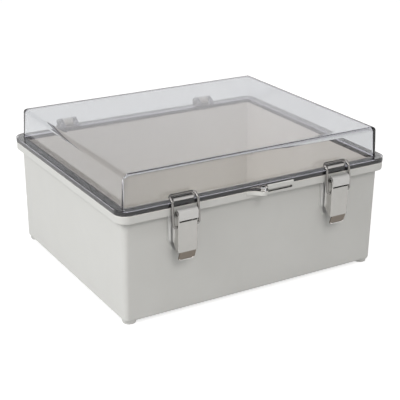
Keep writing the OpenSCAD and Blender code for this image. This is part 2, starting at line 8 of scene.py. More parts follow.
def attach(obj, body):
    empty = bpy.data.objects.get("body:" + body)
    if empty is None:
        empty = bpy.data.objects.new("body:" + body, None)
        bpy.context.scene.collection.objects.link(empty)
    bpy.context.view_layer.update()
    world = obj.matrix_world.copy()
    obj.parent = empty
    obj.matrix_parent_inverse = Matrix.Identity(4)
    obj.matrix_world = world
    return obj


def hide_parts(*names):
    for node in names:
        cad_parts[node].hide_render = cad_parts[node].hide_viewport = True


# Outdoor plastic enclosure with a clear hinged lid and two stainless toggle latches: the looks around its
# CAD frame. Sizes are in millimetres, in the CAD's frame, and become metres where a mesh is made.
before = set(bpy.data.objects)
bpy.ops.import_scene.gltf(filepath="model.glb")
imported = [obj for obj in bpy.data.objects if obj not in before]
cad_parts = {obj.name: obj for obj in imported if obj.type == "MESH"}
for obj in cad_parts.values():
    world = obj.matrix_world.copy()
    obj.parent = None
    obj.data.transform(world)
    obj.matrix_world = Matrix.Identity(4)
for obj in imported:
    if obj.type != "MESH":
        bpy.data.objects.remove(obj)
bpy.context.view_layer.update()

# Studio: the box stands on a white table that runs into a white surround. A large soft lamp hangs high on its
# left, a weaker one hangs above it, and a slightly warm one fills in from the front. The camera stands a
# little over a metre away, off the front left corner.
scene = bpy.context.scene
scene.view_settings.view_transform = "Standard"


def put(name, data):
    """A new object with this data, linked to the scene."""
    obj = bpy.data.objects.new(name, data)
    scene.collection.objects.link(obj)
    return obj


camera_place = (-0.5105, -0.8599, 0.4551)
camera_turn = Matrix(((0.8589, 0.1833, -0.4782), (-0.5121, 0.3225, -0.7961), (0.0083, 0.9286, 0.3709)))
camera = put("camera", bpy.data.cameras.new("camera"))
camera.data.sensor_width = 36
camera.data.lens = 92.31
camera.matrix_world = Matrix.Translation(camera_place) @ camera_turn.to_4x4()
scene.camera = camera

lamps_aim = Vector((0, 0, 0.06))
white_light, warm_light = (1.0, 1.0, 1.0), (1.0, 0.97, 0.95)


def soft_lamp(name, place, size, watts, colour):
    """A square soft box that points at the middle of the box."""
    lamp = put(name, bpy.data.lights.new(name, "AREA"))
    lamp.data.size = size
    lamp.data.energy = watts
    lamp.data.color = colour
    lamp.location = place
    lamp.rotation_euler = (lamps_aim - Vector(place)).to_track_quat("-Z", "Y").to_euler()


soft_lamp("left_soft_box", place=(-1.5, -0.15, 1.15), size=1.1, watts=21.5, colour=white_light)
soft_lamp("top_soft_box", place=(0.15, -0.35, 1.9), size=1.0, watts=6.6, colour=white_light)
soft_lamp("front_fill", place=(-0.2, -1.5, 1.35), size=0.8, watts=10.2, colour=warm_light)


def feed(tree, node, inputs):
    """Sets a node's inputs to values, or links them to sockets."""
    for key, value in inputs.items():
        if isinstance(value, bpy.types.NodeSocket):
            tree.links.new(value, node.inputs[key])
        else:
            node.inputs[key].default_value = value


def add_node(tree, kind, inputs=(), **settings):
    """A node with its settings and its inputs."""
    node = tree.nodes.new(kind)
    for key, value in settings.items():
        setattr(node, key, value)
    feed(tree, node, dict(inputs))
    return node


def figured(tree, operation, *values):
    """What a sum on numbers or number sockets comes to."""
    return add_node(tree, "ShaderNodeMath", enumerate(values), operation=operation).outputs[0]


def axes(tree, vector):
    """The three numbers of a vector socket."""
    return add_node(tree, "ShaderNodeSeparateXYZ", {0: vector}).outputs


def ranged(tree, value, low, high, start=0.0, end=1.0):
    """A value from start to end as one from low to high."""
    return add_node(tree, "ShaderNodeMapRange", {"Value": value, "From Min": start, "From Max": end,
                                                 "To Min": low, "To Max": high}).outputs["Result"]


def looked_at(tree):
    """1 for rays that see a surface straight, mirrored in metal or through the lid, and 0 for its light."""
    rays = add_node(tree, "ShaderNodeLightPath").outputs
    direct = figured(tree, "MAXIMUM", rays["Is Camera Ray"], rays["Is Glossy Ray"])
    return figured(tree, "MAXIMUM", direct, rays["Is Transmission Ray"])


surround_light, fade_low, fade_high = 0.353, 0.36, 0.75
world = bpy.data.worlds.new("white_surround")
world.use_nodes = True
scene.world = world
tree = world.node_tree
height = axes(tree, add_node(tree, "ShaderNodeTexCoord").outputs["Generated"])["Z"]
backdrop = ranged(tree, height, 1 - surround_light, 0.0, fade_low, fade_high)
strength = figured(tree, "MULTIPLY_ADD", looked_at(tree), backdrop, surround_light)
feed(tree, tree.nodes["Background"], {"Color": (1, 1, 1, 1), "Strength": strength})


def new_finish(name):
    """A material, its node tree and its main shader."""
    finish = bpy.data.materials.new(name)
    finish.use_nodes = True
    return finish, finish.node_tree, finish.node_tree.nodes["Principled BSDF"]


table_half, table_lift = 6.0, 0.72
table_mesh = bpy.data.meshes.new("table")
table_corners = [(-1, -1), (1, -1), (1, 1), (-1, 1)]
table_mesh.from_pydata([(x * table_half, y * table_half, 0) for x, y in table_corners], [], [(0, 1, 2, 3)])
table = put("table", table_mesh)
table_white, tree, shader = new_finish("table_white")
feed(tree, shader, {"Base Color": (0.48, 0.48, 0.475, 1), "Roughness": 0.75, "Emission Color": (1, 1, 1, 1),
                    "Emission Strength": figured(tree, "MULTIPLY", looked_at(tree), table_lift)})
table_mesh.materials.append(table_white)

# Base: one drafted box injection-moulded in pale grey plastic, with a turned-over rim, a sealing bead, four
# feet on its mounting holes, latch pads in front, hinge arms behind and bosses for an inner panel.
case_w, case_d, corner_r = 300.0, 250.0, 12.0
foot_h, rim_top = 3.0, 110.8
wall_inset, wall_draft, wall = 6.5, 1.1, 3.0
rim_inset, rim_skirt, rim_t, rim_h = 0.4, 2.6, 3.2, 8.0
bead_mid, bead_w, bead_crown, bead_h = 4.75, 2.0, 1.2, 0.8
floor_z = foot_h + wall
rim_bottom = rim_top - rim_h
half_w, half_d = case_w / 2, case_d / 2
corner_steps, least_corner_r = 8, 0.12


def eased(points, closed, steps=4):
    """A profile from (x, y, radius) points, with an arc at each point that has a radius."""
    most_of_side = 0.499
    out = []
    for i, (x, y, radius) in enumerate(points):
        here = Vector((x, y))
        if radius == 0 or (not closed and i in (0, len(points) - 1)):
            out.append(here)
            continue
        back = Vector(points[i - 1][:2]) - here
        on = Vector(points[(i + 1) % len(points)][:2]) - here
        half = back.angle(on) / 2
        reach = min(radius / math.tan(half), most_of_side * back.length, most_of_side * on.length)
        centre = here + (back.normalized() + on.normalized()).normalized() * reach / math.cos(half)
        start, end = here + back.normalized() * reach - centre, here + on.normalized() * reach - centre
        sweep = start.angle(end)
        for k in range(steps + 1):
            t = k / steps
            arm = (start * math.sin((1 - t) * sweep) + end * math.sin(t * sweep)) / math.sin(sweep)
            out.append(centre + arm)
    return out


def arc(centre, radius, start, end):
    """Points around a centre from one angle to another, ten degrees apart."""
    step = 10 if end > start else -10
    return [(centre[0] + radius * math.cos(math.radians(a)), centre[1] + radius * math.sin(math.radians(a)))
            for a in range(start, end + step, step)]


def oblong(left, low, right, high):
    """The outline of a square-cornered opening or block."""
    return [(left, low), (right, low), (right, high), (left, high)]


def case_ring(inset, z, least_r=least_corner_r):
    """The case's round-cornered outline, moved in by inset, at height z."""
    r = max(corner_r - inset, least_r)
    ring = []
    for turn, (sx, sy) in enumerate(((1, 1), (-1, 1), (-1, -1), (1, -1))):
        centre = Vector((sx * (half_w - inset - r), sy * (half_d - inset - r), z))
        for k in range(corner_steps + 1):
            angle = math.radians(90 * (turn + k / corner_steps))
            ring.append(centre + r * Vector((math.cos(angle), math.sin(angle), 0)))
    return ring


def skinned(rings, closed):
    """A mesh through rings of points. An open run of rings is closed by flat ends."""
    bm = bmesh.new()
    rows = [[bm.verts.new(p) for p in ring] for ring in rings]
    for low, high in zip(rows, rows[1:] + rows[:1] if closed else rows[1:]):
        for i in range(len(low)):
            j = (i + 1) % len(low)
            bm.faces.new((low[i], low[j], high[j], high[i]))
    if not closed:
        bm.faces.new(rows[0])
        bm.faces.new(rows[-1])
    return bm


def plan(u, v, w):
    """A point drawn at (u, v) in the view from above, at height w."""
    return u, v, w


def front(u, v, w):
    """A point drawn at (u, v) in the front view, at depth w."""
    return u, w, v


def side(u, v, w):
    """A point drawn at (u, v) in the side view, at width w."""
    return w, u, v


def plate(outline, view, start, end, edge=0.0):
    """A flat piece with this outline, from start to end across its view, with its rims eased by edge."""
    bm = skinned([[view(u, v, w) for u, v in outline] for w in (start, end)], False)
    if edge:
        rims = [e for e in bm.edges if any(len(f.verts) > 4 for f in e.link_faces)]
        if len(outline) == 4:
            rims = list(bm.edges)
        bmesh.ops.bevel(bm, geom=rims, offset=edge, segments=2, profile=0.5, affect="EDGES",
                        clamp_overlap=True)
    return bm


def side_plate(outline, x, width, edge=0.0):
    """A plate with its outline in the side view, of this width about x."""
    return plate(outline, side, x - width / 2, x + width / 2, edge)


def turned(profile, view, place, steps=32):
    """A form turned from (radius, height) points about the third axis of its view."""
    turns = [2 * math.pi * k / steps for k in range(steps)]
    rings = [[Vector(view(r * math.cos(a), r * math.sin(a), h)) + Vector(place) for a in turns]
             for r, h in profile]
    return skinned(rings, False)


corners = [(sx, sy) for sx in (-1, 1) for sy in (-1, 1)]


def at_corners(profile, x, y):
    """Four upright turned forms, one at each (x, y) about the middle of the case."""
    return [turned(profile, plan, (sx * x, sy * y, 0)) for sx, sy in corners]


def gathered(forms):
    """Several forms as one mesh."""
    whole = bmesh.new()
    for form in forms:
        part = bpy.data.meshes.new("part")
        form.to_mesh(part)
        form.free()
        whole.from_mesh(part)
        bpy.data.meshes.remove(part)
    return whole


metre = 1000.0


def made(name, form):
    """The form as an object at the origin, in metres, with its faces outwards."""
    least = 0.0005
    bmesh.ops.remove_doubles(form, verts=form.verts, dist=least)
    bmesh.ops.recalc_face_normals(form, faces=form.faces)
    mesh = bpy.data.meshes.new(name)
    form.to_mesh(mesh)
    form.free()
    mesh.transform(Matrix.Scale(1 / metre, 4))
    return put(name, mesh)


def plain_mesh(obj):
    """The mesh that an object's modifiers come to."""
    bpy.context.view_layer.update()
    return bpy.data.meshes.new_from_object(obj.evaluated_get(bpy.context.evaluated_depsgraph_get()))


def settled(obj):
    """The object with its modifiers turned into plain mesh."""
    mesh = plain_mesh(obj)
    obj.modifiers.clear()
    obj.data = mesh
    return obj


def combined(obj, tool, operation):
    """Joins, cuts or trims an object by another one, which is used up."""
    step = obj.modifiers.new("step", "BOOLEAN")
    step.operation = operation
    step.solver = "EXACT"
    step.object = tool
    settled(obj)
    bpy.data.objects.remove(tool)


def worked(obj, form, operation):
    """Joins, cuts or trims an object by a form."""
    combined(obj, made("tool", form), operation)


def faired(obj, sharp=32):
    """Takes out doubled points and empty faces, and shades the rest smooth but crisp at sharp edges."""
    least = 0.000002
    bm = bmesh.new()
    bm.from_mesh(obj.data)
    bmesh.ops.remove_doubles(bm, verts=bm.verts, dist=least)
    bmesh.ops.dissolve_degenerate(bm, edges=bm.edges, dist=least)
    bm.to_mesh(obj.data)
    bm.free()
    obj.data.shade_smooth()
    obj.data.set_sharp_from_angle(angle=math.radians(sharp))
    weighted = obj.modifiers.new("weighted", "WEIGHTED_NORMAL")
    weighted.keep_sharp = True
    weighted.weight = 80
    settled(obj)


def fitted(obj, finish, slot, body, *nodes):
    """Gives a piece its finish and puts it in the place of its CAD nodes."""
    obj.data.materials.clear()
    obj.data.materials.append(finish)
    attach(obj, body)
    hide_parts(*nodes)


outer_floor_r, inner_floor_r, mouth_r = 4.0, 1.4, 0.7
rim_edge_r, rim_foot_r, rim_root_r = 0.8, 1.2, 0.6
bead_edge_r, bead_foot_r = 0.25, 0.2
underside_lap, floor_lap = 5.0, 3.0
bead_out, bead_in = bead_mid - bead_w / 2, bead_mid + bead_w / 2
skirt_inset = rim_inset + rim_skirt
wall_foot, inner_foot = wall_inset + wall_draft, wall_inset + wall + wall_draft
base_profile = eased([
    (wall_foot + underside_lap, foot_h, 0),
    (wall_foot, foot_h, outer_floor_r),
    (wall_inset, rim_top - rim_t, rim_edge_r),
    (skirt_inset, rim_top - rim_t, rim_root_r),
    (skirt_inset, rim_bottom, rim_foot_r),
    (rim_inset, rim_bottom, rim_foot_r),
    (rim_inset, rim_top, rim_edge_r),
    (bead_out, rim_top, bead_foot_r),
    (bead_mid - bead_crown / 2, rim_top + bead_h, bead_edge_r),
    (bead_mid + bead_crown / 2, rim_top + bead_h, bead_edge_r),
    (bead_in, rim_top, bead_foot_r),
    (wall_inset + wall, rim_top, mouth_r),
    (inner_foot, floor_z, inner_floor_r),
    (inner_foot + floor_lap, floor_z, 0),
], False)
base = made("base", skinned([case_ring(inset, z) for inset, z in base_profile], False))

latch_x, pivot_y, pivot_z = 85.5, -129.4, 106.0
pad_root, pad_y, pad_top, pad_margin, pad_edge = -117.0, -119.0, rim_bottom + rim_skirt, 0.8, 0.3
bracket_w, bracket_low_w, bracket_drop, bracket_len, bracket_corner_r = 27.0, 16.0, 28.0, 39.0, 2.0
rivet_drop, rivet_pitch = 15.0, 15.0
seat_root, seat_y, seat_root_r, seat_r = -116.5, -113.9, 4.4, 4.2


def bracket_outline(x, margin, top):
    """The front view of a latch bracket, or of the moulded pad that it lies on, with a margin around it."""
    wide, low = bracket_w / 2 + margin, bracket_low_w / 2 + margin
    shoulder, foot = pivot_z - bracket_drop, pivot_z - bracket_len - margin
    r = bracket_corner_r
    return eased([(x - wide, top, 0), (x + wide, top, 0), (x + wide, shoulder, r), (x + low, foot, r),
                  (x - low, foot, r), (x - wide, shoulder, r)], True)


hinge_x, hinge_y, hinge_z, knuckle_r = 85.5, 130.6, 116.3, 5.0
arm_w, arm_edge, arm_root, arm_foot, arm_top = 10.4, 0.5, 123.3, 103.8, 110.3
arm_outline = [(arm_root, arm_foot), (arm_root, arm_top), (hinge_y - knuckle_r, arm_top)]
arm_outline += arc((hinge_y, hinge_z), knuckle_r, 180, 0) + [(hinge_y + knuckle_r, hinge_z - knuckle_r / 2)]
mount_x, mount_y, mount_r, mount_sink, mount_sink_z = 135.0, 110.0, 2.75, 1.5, 4.5
panel_x, panel_y, insert_r, insert_l = 110.0, 85.0, 3.0, 7.0
foot_r, foot_taper, foot_lap, foot_top = 7.0, 0.75, 0.4, 5.2
boss_r, boss_draft, boss_root, boss_top = 5.0, 0.5, 4.5, 15.0
post_core, post_edge_r = 1.0, 0.5
foot_profile = eased([(post_core, 0, 0), (foot_r - foot_taper, 0, post_edge_r),
                      (foot_r, foot_h + foot_lap, 0), (foot_r, foot_top, 0), (post_core, foot_top, 0)], False)
boss_profile = eased([(post_core, boss_root, 0), (boss_r + boss_draft, boss_root, 0),
                      (boss_r, boss_top, post_edge_r), (post_core, boss_top, 0)], False)
added = [plate(bracket_outline(s * latch_x, pad_margin, pad_top), front, pad_root, pad_y, pad_edge)
         for s in (-1, 1)]
added += [side_plate(arm_outline, s * hinge_x, arm_w, arm_edge) for s in (-1, 1)]
added += at_corners(foot_profile, mount_x, mount_y) + at_corners(boss_profile, panel_x, panel_y)
worked(base, gathered(added), "UNION")
seats = [turned([(seat_root_r, seat_root), (seat_r, seat_y)], front,
                (s * latch_x, 0, pivot_z - rivet_drop - i * rivet_pitch)) for s in (-1, 1) for i in (0, 1)]
worked(base, gathered(seats), "UNION")

# the openings in the base, whose cutters run past the faces that they open
cut_past = 1.0
lip_x, lip_len, lip_foot = 3.7, 29.3, rim_top - 1.4
slot_h, slot_depth = 3.4, 3.2
lip_end, slot_low = lip_x + lip_len, lip_foot - slot_h
mount_bore = [(mount_r, -cut_past), (mount_r, mount_sink_z), (mount_r + mount_sink, floor_z + cut_past / 2)]
insert_seat = [(insert_r, boss_top - insert_l), (insert_r, boss_top + cut_past)]
cuts = at_corners(mount_bore, mount_x, mount_y) + at_corners(insert_seat, panel_x, panel_y)
cuts += [plate(oblong(lip_x, slot_low, lip_end, lip_foot), front, -half_d - 2 * cut_past,
               slot_depth - half_d + rim_inset)]
worked(base, gathered(cuts), "DIFFERENCE")
faired(base)


def group_tree(name, inputs, outputs):
    """An empty shader node group with number inputs and outputs."""
    tree = bpy.data.node_groups.new(name, "ShaderNodeTree")
    for key, value in inputs.items():
        socket = tree.interface.new_socket(key, in_out="INPUT", socket_type="NodeSocketFloat")
        socket.default_value = value
    for key in outputs:
        tree.interface.new_socket(key, in_out="OUTPUT", socket_type="NodeSocketFloat")
    return tree, tree.nodes.new("NodeGroupInput").outputs, tree.nodes.new("NodeGroupOutput")


def on_piece(tree):
    """Where a point of a surface lies, in the piece's own frame."""
    return add_node(tree, "ShaderNodeTexCoord").outputs["Object"]


def noise(tree, place, scale, detail, roughness=0.5, distortion=0.0):
    """Smooth random values over a place."""
    return add_node(tree, "ShaderNodeTexNoise", {
        "Vector": place, "Scale": scale, "Detail": detail, "Roughness": roughness, "Distortion": distortion,
    }).outputs["Fac"]


# the texture of the mould's steel, printed in plastic and rubber, with the broad flow shades of a moulding
mould_skin, given, result = group_tree("mould_skin", {"Grain": 1500.0, "Flow": 22.0}, ("Height", "Shade"))
place = on_piece(mould_skin)
grain = noise(mould_skin, place, given["Grain"], detail=3.0, roughness=0.6)
flow = noise(mould_skin, place, given["Flow"], detail=4.0, roughness=0.55, distortion=0.6)
feed(mould_skin, result, {"Height": grain, "Shade": flow})


def placed_group(tree, group, values):
    """The outputs of a shader node group, placed in a material with its own values."""
    return add_node(tree, "ShaderNodeGroup", values, node_tree=group).outputs


def two_shades(tree, value, low, high):
    """A colour between two, each a plain colour or a socket, by a 0 to 1 value."""
    ends = [end if isinstance(end, bpy.types.NodeSocket) else (*end, 1) for end in (low, high)]
    return add_node(tree, "ShaderNodeMix", {0: value, 6: ends[0], 7: ends[1]}, data_type="RGBA").outputs[2]


def bumped(tree, height, strength, depth):
    """The normal of a surface that rises by a height, up to a depth in metres."""
    return add_node(tree, "ShaderNodeBump", {"Height": height, "Strength": strength,
                                             "Distance": depth}).outputs["Normal"]


def figured_way(tree, operation, *values):
    """What a sum on places or directions comes to: another one, or a number for a dot product."""
    node = add_node(tree, "ShaderNodeVectorMath", enumerate(values), operation=operation)
    return node.outputs["Value" if operation == "DOT_PRODUCT" else "Vector"]


def in_box(tree, low, high):
    """1 for a surface inside the box between two corners, and 0 outside it."""
    middle = [(a + b) / 2 / metre for a, b in zip(low, high)]
    half = [(b - a) / 2 / metre for a, b in zip(low, high)]
    away = figured_way(tree, "ABSOLUTE", figured_way(tree, "SUBTRACT", on_piece(tree), middle))
    past = axes(tree, figured_way(tree, "SUBTRACT", away, half))
    most = figured(tree, "MAXIMUM", figured(tree, "MAXIMUM", past["X"], past["Y"]), past["Z"])
    return figured(tree, "LESS_THAN", most, 0.0)


# the base's grey, with painted shade that darkens the hollow behind the slot
painted_slot_shade, shade_slack, shade_front, shade_back = (0.13, 0.125, 0.12), 0.1, rim_inset + 0.2, wall_inset + 0.5
grey_plastic, tree, shader = new_finish("grey_plastic")
skin = placed_group(tree, mould_skin, {})
plain_grey = two_shades(tree, skin["Shade"], (0.60, 0.60, 0.575), (0.66, 0.66, 0.64))
# painted shade: a box of dark colour over the hollow behind the slot, where shade falls under the lip
slot_shade_mask = in_box(tree, (lip_x - shade_slack, shade_front - half_d, slot_low - shade_slack),
               (lip_end + shade_slack, shade_back - half_d, lip_foot + shade_slack))
feed(tree, shader, {"Base Color": two_shades(tree, slot_shade_mask, plain_grey, painted_slot_shade),
                    "Roughness": ranged(tree, skin["Shade"], low=0.38, high=0.54),
                    "Normal": bumped(tree, skin["Height"], strength=0.25, depth=0.00005)})
fitted(base, grey_plastic, "grey_plastic", "base", "base_shell")

# Padlock lug: a small moulding in the base's plastic, welded to the rim's skirt. Its round nose has the hole
# for the shackle, and the raised lip beside it guards the shackle.
lug_x, lug_y, lug_r, lug_hole_r, lug_sweep_r, lug_root = -3.0, -128.2, 5.0, 2.25, 14.0, 0.5
lug_top, lug_t, lug_edge = rim_top - 0.4, 3.6, 0.6
lip_y, lip_t, lip_top, lip_edge = -127.3, 1.9, rim_top + 3.3, 0.4
lip_foot_r, lip_top_r, lip_root_r = 0.5, 0.6, 0.3
hole_ease_low, hole_ease_top, hole_ease_h, hole_past = 0.5, 0.6, 0.5, 0.1
bridge_lap, bridge_sink, lug_gap = 2.0, 0.1, 0.01
rim_face = half_d - rim_inset
lug_low = lug_top - lug_t
hollow_steps, nose_steps = 16, 20


def lug_outline(root_y):
    """A round nose with a hollow sweep back to its root on the left."""
    sweep = Vector((0, root_y - lug_y - lug_root - lug_sweep_r))
    sweep.x = -math.sqrt((lug_sweep_r + lug_r) ** 2 - sweep.y ** 2)
    meet = math.atan2(-sweep.y, -sweep.x)
    hollow = [math.pi / 2 + (meet - math.pi / 2) * k / hollow_steps for k in range(hollow_steps + 1)]
    nose = [meet + math.pi + (math.pi - meet) * k / nose_steps for k in range(1, nose_steps + 1)]
    points = [sweep + lug_sweep_r * Vector((math.cos(a), math.sin(a))) for a in hollow]
    points += [lug_r * Vector((math.cos(a), math.sin(a))) for a in nose]
    points = [Vector((sweep.x, root_y - lug_y))] + points + [Vector((lug_r, root_y - lug_y))]
    return [(lug_x + p.x, lug_y + p.y) for p in points]


lug = made("padlock_lug", plate(lug_outline(-rim_face), plan, lug_low, lug_top, lug_edge))
lip_profile = eased([
    (lip_y, lip_foot, lip_foot_r), (lip_y, lip_top, lip_top_r), (lip_y + lip_t, lip_top, lip_top_r),
    (lip_y + lip_t, lug_top, lip_root_r), (-rim_face, lug_top, 0), (-rim_face, lip_foot, 0)], True)
worked(lug, plate(lip_profile, side, lip_x, lip_end, lip_edge), "UNION")
bridge = oblong(lug_x + bridge_lap, lip_foot, lip_x + bridge_lap / 2, lug_top - bridge_sink)
worked(lug, plate(bridge, front, -rim_face - lip_t, -rim_face - lug_gap), "UNION")
shackle_hole = [(lug_hole_r + hole_ease_low, lug_low - lug_gap), (lug_hole_r, lug_low + hole_ease_h),
                (lug_hole_r, lug_top - hole_ease_h), (lug_hole_r + hole_ease_top, lug_top + hole_past)]
worked(lug, turned(shackle_hole, plan, (lug_x, lug_y, 0)), "DIFFERENCE")
faired(lug)
fitted(lug, grey_plastic, "grey_plastic", "base", "padlock_lug")

# Panel inserts: four turned and knurled brass bushes, pressed hot into the bosses, with a thread for the
# screws of an inner mounting panel.
bush_bore, bush_end, bush_mouth, bush_chamfer = 1.65, -insert_l, 0.45, 0.5
knurl_r, neck_r, lead_r, rim_r = insert_r - 0.05, insert_r - 0.4, insert_r - 0.35, insert_r - 0.3
lead_h, knurl_low, neck_low, neck_high, knurl_high = 0.4, 3.0, 3.2, 3.8, 4.0
knurl_steps, knurl_depth = 48, 0.22


def knurled(profile):
    """A turned bush from (radius, height, 1 for knurled) points, with fine ridges along its outside."""
    turns = [(k % 2, 2 * math.pi * k / knurl_steps) for k in range(knurl_steps)]
    rings = []
    for r, h, cut in profile:
        outs = [(r - cut * valley * knurl_depth, a) for valley, a in turns]
        rings.append([Vector((out * math.cos(a), out * math.sin(a), h)) for out, a in outs])
    return skinned(rings, True)


bush = made("bush", knurled([
    (bush_bore, bush_end, 0), (lead_r, bush_end, 0), (knurl_r, bush_end + lead_h, 1),
    (knurl_r, bush_end + knurl_low, 1), (neck_r, bush_end + neck_low, 0), (neck_r, bush_end + neck_high, 0),
    (knurl_r, bush_end + knurl_high, 1), (knurl_r, -bush_chamfer, 1), (rim_r, 0, 0),
    (bush_bore + bush_mouth, 0, 0), (bush_bore, -bush_chamfer, 0)]))
bush.hide_render = True


def new_layout(name, inputs):
    """An empty geometry node tree with the given inputs between its geometry and its finish."""
    tree = bpy.data.node_groups.new(name, "GeometryNodeTree")
    for key, kind in {"Geometry": "Geometry", **inputs, "Finish": "Material"}.items():
        tree.interface.new_socket(key, in_out="INPUT", socket_type="NodeSocket" + kind)
    tree.interface.new_socket("Geometry", in_out="OUTPUT", socket_type="NodeSocketGeometry")
    return tree, tree.nodes.new("NodeGroupInput").outputs


def end_layout(tree, given, geometry):
    """Ends a layout in plain mesh with its finish."""
    real = add_node(tree, "GeometryNodeRealizeInstances", {"Geometry": geometry}).outputs["Geometry"]
    coated = add_node(tree, "GeometryNodeSetMaterial", {"Geometry": real, "Material": given["Finish"]})
    add_node(tree, "NodeGroupOutput", {"Geometry": coated.outputs["Geometry"]})


def copies_at(tree, given, points):
    """Ends a layout in a copy of its piece at each point."""
    one = add_node(tree, "GeometryNodeObjectInfo", {"Object": given["Piece"]})
    copies = add_node(tree, "GeometryNodeInstanceOnPoints", {"Points": points,
                                                             "Instance": one.outputs["Geometry"]})
    end_layout(tree, given, copies.outputs["Instances"])


def lay_out(obj, tree, values):
    """Gives an object a layout, with its inputs set by their identifiers."""
    step = obj.modifiers.new("layout", "NODES")
    step.node_group = tree
    for item in tree.interface.items_tree:
        if item.item_type == "SOCKET" and item.in_out == "INPUT" and item.name in values:
            step[item.identifier] = values[item.name]


# a grid of like pieces, from one of them
grid_layout, given = new_layout("grid_layout", {"Piece": "Object", "Width": "Float", "Depth": "Float",
                                                "Height": "Float", "Columns": "Int", "Rows": "Int"})
grid = add_node(grid_layout, "GeometryNodeMeshGrid", {
    "Size X": given["Width"], "Size Y": given["Depth"], "Vertices X": given["Columns"],
    "Vertices Y": given["Rows"]})
raised = add_node(grid_layout, "ShaderNodeCombineXYZ", {"Z": given["Height"]})
lifted = add_node(grid_layout, "GeometryNodeSetPosition", {"Geometry": grid.outputs["Mesh"],
                                                           "Offset": raised.outputs["Vector"]})
copies_at(grid_layout, given, lifted.outputs["Geometry"])

# the marks of drawing, turning and handling that bare metal and the clear lid carry
wear_marks, given, result = group_tree("wear_marks", {"Across": 2600.0, "Along": 60.0, "Smears": 45.0},
                                       ("Lines", "Smear"))
place = on_piece(wear_marks)
stretch = add_node(wear_marks, "ShaderNodeCombineXYZ", {"X": given["Across"], "Y": given["Across"],
                                                        "Z": given["Along"]})
pulled = figured_way(wear_marks, "MULTIPLY", place, stretch.outputs["Vector"])
lines = noise(wear_marks, pulled, scale=1.0, detail=3.0)
smears = noise(wear_marks, place, given["Smears"], detail=5.0, roughness=0.6, distortion=1.2)
feed(wear_marks, result, {"Lines": lines, "Smear": smears})


def metal_finish(name, marks, dark, light, smooth, rough, depth=0.00002):
    """Bare metal with drawn lines and handling smears."""
    finish, tree, shader = new_finish(name)
    worn = placed_group(tree, wear_marks, marks)
    both = figured(tree, "MULTIPLY", worn["Lines"], worn["Smear"])
    feed(tree, shader, {"Metallic": 1, "Base Color": two_shades(tree, worn["Smear"], dark, light),
                        "Roughness": ranged(tree, both, smooth, rough, end=0.5),
                        "Normal": bumped(tree, worn["Lines"], strength=0.2, depth=depth)})
    return finish


brass = metal_finish("turned_brass", {"Across": 300.0, "Along": 3000.0}, dark=(0.60, 0.42, 0.16),
                     light=(0.74, 0.56, 0.25), smooth=0.2, rough=0.36, depth=0.00003)
inserts = put("panel_inserts", bpy.data.meshes.new("panel_inserts"))
lay_out(inserts, grid_layout, {"Piece": bush, "Width": 2 * panel_x / metre, "Depth": 2 * panel_y / metre,
                               "Height": boss_top / metre, "Columns": 2, "Rows": 2, "Finish": brass})
settled(inserts)
bpy.data.objects.remove(bush)
faired(inserts)
fitted(inserts, brass, "brass", "base", "panel_inserts")

# Latch brackets: stainless plates pressed to shape, with two ears that carry the lever's pivot. Each lies on
# its moulded pad and is held by two rivets.
sheet_t, bracket_t, bracket_gap, bracket_edge = 1.0, 1.2, 0.01, 0.25
bracket_top = rim_bottom - 0.3
bracket_ear_x, bracket_ear_r, ear_root_h, ear_edge = 8.2, 2.3, 14.5, 0.2
plate_y = pad_y - bracket_t
plate_out = pivot_y - plate_y
ear_neck = rim_bottom - pivot_z - 1.3
sides = ((-1, "left"), (1, "right"))


def latch_side(out, up):
    """A point of a latch's side view about the lever's pivot, as a place in the case's side view."""
    return pivot_y - out, pivot_z + up


def latch_outline(points):
    """An outline of a latch's side view about the lever's pivot, in the case's side view."""
    return [latch_side(out, up) for out, up in points]


def pair(form, name, finish, slot, bodies, nodes):
    """A left and a right copy of a piece that was made at the middle of the case."""
    for sign, word in sides:
        twin = form.data.copy()
        twin.name = word + "_" + name
        twin.transform(Matrix.Translation((sign * latch_x / metre, 0, 0)))
        obj = put(word + "_" + name, twin)
        fitted(obj, finish, slot, bodies.replace("*", word), nodes.replace("*", word))
    bpy.data.objects.remove(form)


root_out, root_low = plate_out - bracket_t / 2, ear_neck - sheet_t
ear_outline = latch_outline(arc((0, 0), bracket_ear_r, -20, 180) + [
    (-bracket_ear_r, ear_neck), (root_out, root_low), (root_out, root_low - ear_root_h),
    (plate_out / 2, ear_neck - ear_root_h / 2)])
bracket_plate = plate(bracket_outline(0, 0, bracket_top), front, pad_y - bracket_gap, plate_y, bracket_edge)
bracket = made("bracket", bracket_plate)
for ear in (-1, 1):
    worked(bracket, side_plate(ear_outline, ear * bracket_ear_x, sheet_t, ear_edge), "UNION")
faired(bracket)
plate_steel = metal_finish("plate_stainless", {}, dark=(0.58, 0.58, 0.575), light=(0.66, 0.66, 0.655),
                           smooth=0.36, rough=0.52)
pair(bracket, "bracket", plate_steel, "stainless_steel", "base", "*_bracket")

# Bracket rivets: turned in stainless, two to a bracket, with low domed heads over its plate. Their inner ends
# are clenched flat on the seats inside the case.
rivet_r, rivet_core, rivet_head_r, rivet_head_h = 2.0, 0.3, 3.4, 1.6
crown_share, crown_r, head_edge_r, clench_r, clench_taper = 0.62, 1.6, 0.1, 0.2, 0.3
head_y, clench_y = plate_y - rivet_head_h, seat_y + rivet_head_h / 2
rivet_profile = eased([
    (rivet_core, head_y, 0), (rivet_head_r * crown_share, head_y, crown_r),
    (rivet_head_r, plate_y, head_edge_r), (rivet_r, plate_y, 0), (rivet_r, seat_y, 0),
    (rivet_head_r, seat_y, clench_r),
    (rivet_head_r - clench_taper, clench_y, clench_taper), (rivet_core, clench_y, 0)], False)
rivet = made("rivet", turned(rivet_profile, front, (0, 0, 0), steps=24))

